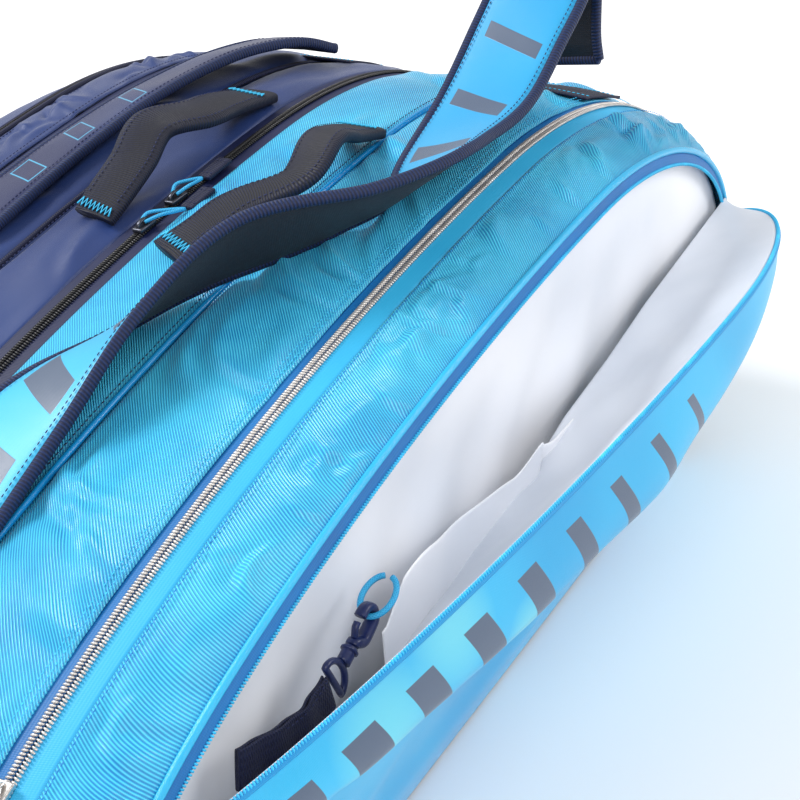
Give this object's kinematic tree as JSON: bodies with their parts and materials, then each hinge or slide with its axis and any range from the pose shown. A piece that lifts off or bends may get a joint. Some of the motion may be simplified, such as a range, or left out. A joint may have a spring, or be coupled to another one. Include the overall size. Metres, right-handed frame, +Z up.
{
  "type": "racket tournament bag",
  "caption": "Long soft tournament bag for rackets with three zipped compartments, side accessory pockets, grab handles and shoulder straps, one pocket hanging open.",
  "frame": {"origin": "on the floor under the middle zip, on the flat bottom of the base board", "axes": "+X towards the head end of the rackets, -Y towards the open side pocket, +Z up"},
  "size_m": [0.7824, 0.5522, 0.3911],
  "materials": {
    "cyan_ribbed": "ribbed satin-sheen polyester",
    "navy_smooth": "smooth coated polyester",
    "zip_tape_blue": "smooth zip tape",
    "navy_webbing": "ribbed webbing",
    "flap_print": "printed coated fabric",
    "white_lining": "satin lining",
    "charcoal_lining": "dark lining",
    "braided_cord": "braided cord",
    "slider_metal": "dark plated",
    "slider_silver": "satin plated",
    "navy_plastic": "moulded",
    "black_plastic": "moulded"
  },
  "bodies": {
    "bag_right": {"base_inner_right": "charcoal_lining", "top_panel_right": "cyan_ribbed", "middle_zip_right": "navy_webbing", "side_zip_inner_right": "zip_tape_blue", "divider_right": "charcoal_lining", "anchor_webbing_right": "navy_webbing", "anchor_patch_right": "navy_webbing"},
    "bag_left": {"base_inner_left": "charcoal_lining", "top_panel_left": "navy_smooth", "middle_zip_left": "navy_webbing", "side_zip_inner_left": "zip_tape_blue", "divider_left": "charcoal_lining", "anchor_webbing_left": "navy_webbing", "anchor_patch_left": "navy_webbing"},
    "wall_right": {"base_outer_right": "charcoal_lining", "side_zip_outer_right": "zip_tape_blue", "outer_gusset_right": "cyan_ribbed", "inner_wall_right": "white_lining", "pocket_zip_fixed_right": "zip_tape_blue", "pocket_lower_right": "flap_print", "pocket_slider_right": "slider_metal", "organiser_pocket": "white_lining"},
    "wall_left": {"base_outer_left": "charcoal_lining", "side_zip_outer_left": "zip_tape_blue", "outer_gusset_left": "navy_smooth", "inner_wall_left": "white_lining", "pocket_zip_fixed_left": "zip_tape_blue", "pocket_lower_left": "navy_smooth", "pocket_slider_left": "slider_metal"},
    "flap_right": {"pocket_flap_right": "flap_print", "pocket_zip_moving_right": "zip_tape_blue"},
    "flap_left": {"pocket_flap_left": "navy_smooth", "pocket_zip_moving_left": "zip_tape_blue"},
    "handle_right": {"handle_right": "navy_webbing"},
    "handle_left": {"handle_left": "navy_webbing"},
    "strap_right": {"strap_right": "cyan_ribbed", "ladder_lock_right": "black_plastic"},
    "strap_left": {"strap_left": "navy_smooth", "ladder_lock_left": "black_plastic"},
    "middle_slider_near": {"middle_slider_near": "slider_metal", "middle_cord_near": "braided_cord", "middle_tab_near": "navy_webbing"},
    "middle_slider_far": {"middle_slider_far": "slider_metal", "middle_cord_far": "braided_cord", "middle_tab_far": "navy_webbing"},
    "side_slider_right": {"side_slider_right": "slider_silver"},
    "side_slider_left": {"side_slider_left": "slider_silver"},
    "hook_strap": {"hook_webbing": "navy_webbing", "hook_d_ring": "navy_plastic", "hook_swivel_post": "navy_plastic"},
    "hook": {"hook_body": "navy_plastic", "hook_cord_loop": "braided_cord"},
    "hook_gate": {"hook_gate": "navy_plastic"}
  },
  "joints": [
    {"name": "middle_open", "type": "hinge", "parent": "bag_right", "child": "bag_left", "pos_m": [0, 0.0124, 0], "axis": [-1, 0, 0], "range_deg": [0, 70]},
    {"name": "left_compartment_open", "type": "hinge", "parent": "bag_left", "child": "wall_left", "pos_m": [0, 0.128, 0], "axis": [-1, 0, 0], "range_deg": [0, 80]},
    {"name": "right_compartment_open", "type": "hinge", "parent": "bag_right", "child": "wall_right", "pos_m": [0, -0.166, 0], "axis": [1, 0, 0], "range_deg": [0, 80]},
    {"name": "right_pocket_flap", "type": "hinge", "parent": "wall_right", "child": "flap_right", "pos_m": [0, -0.222, 0.19], "axis": [1, 0, 0], "range_deg": [-64.8, 12]},
    {"name": "left_pocket_flap", "type": "hinge", "parent": "wall_left", "child": "flap_left", "pos_m": [0, 0.184, 0.19], "axis": [-1, 0, 0], "range_deg": [0, 75]},
    {"name": "right_handle_swing", "type": "hinge", "parent": "bag_right", "child": "handle_right", "pos_m": [0.06123, -0.03883, 0.29695], "axis": [-0.9769, 0.2015, -0.0709], "range_deg": [0, 60]},
    {"name": "left_handle_swing", "type": "hinge", "parent": "bag_left", "child": "handle_left", "pos_m": [0.08352, 0.01351, 0.29819], "axis": [0.998, -0.0297, 0.0549], "range_deg": [0, 35]},
    {"name": "right_strap_lift", "type": "hinge", "parent": "bag_right", "child": "strap_right", "pos_m": [0, -0.165, 0.285], "axis": [1, 0, 0], "range_deg": [0, 15]},
    {"name": "left_strap_lift", "type": "hinge", "parent": "bag_left", "child": "strap_left", "pos_m": [0, 0.125, 0.285], "axis": [-1, 0, 0], "range_deg": [0, 22]},
    {"name": "middle_near_slider_run", "type": "slide", "parent": "bag_right", "child": "middle_slider_near", "axis": [-0.9949, 0, -0.1013], "range_m": [0, 0.08]},
    {"name": "middle_far_slider_run", "type": "slide", "parent": "bag_right", "child": "middle_slider_far", "axis": [0.9964, 0, 0.0851], "range_m": [0, 0.08]},
    {"name": "right_zip_slider_run", "type": "slide", "parent": "bag_right", "child": "side_slider_right", "axis": [0.8976, 0, 0.4408], "range_m": [0, 0.05]},
    {"name": "left_zip_slider_run", "type": "slide", "parent": "bag_left", "child": "side_slider_left", "axis": [0.9072, 0, 0.4208], "range_m": [0, 0.05]},
    {"name": "hook_strap_swing", "type": "hinge", "parent": "wall_right", "child": "hook_strap", "pos_m": [-0.262, -0.2305, 0.186], "axis": [0, -1, 0], "range_deg": [0, 12]},
    {"name": "hook_swivel", "type": "hinge", "parent": "hook_strap", "child": "hook", "pos_m": [-0.16909, -0.2345, 0.18873], "axis": [0.9292, 0, 0.3697], "range_deg": [-40, 40]},
    {"name": "hook_gate_open", "type": "hinge", "parent": "hook", "child": "hook_gate", "pos_m": [-0.16596, -0.2345, 0.19169], "axis": [0, 1, 0], "range_deg": [0, 20], "stiffness_Nm_per_rad": 0.01, "springref_deg": -5.73}
  ]
}
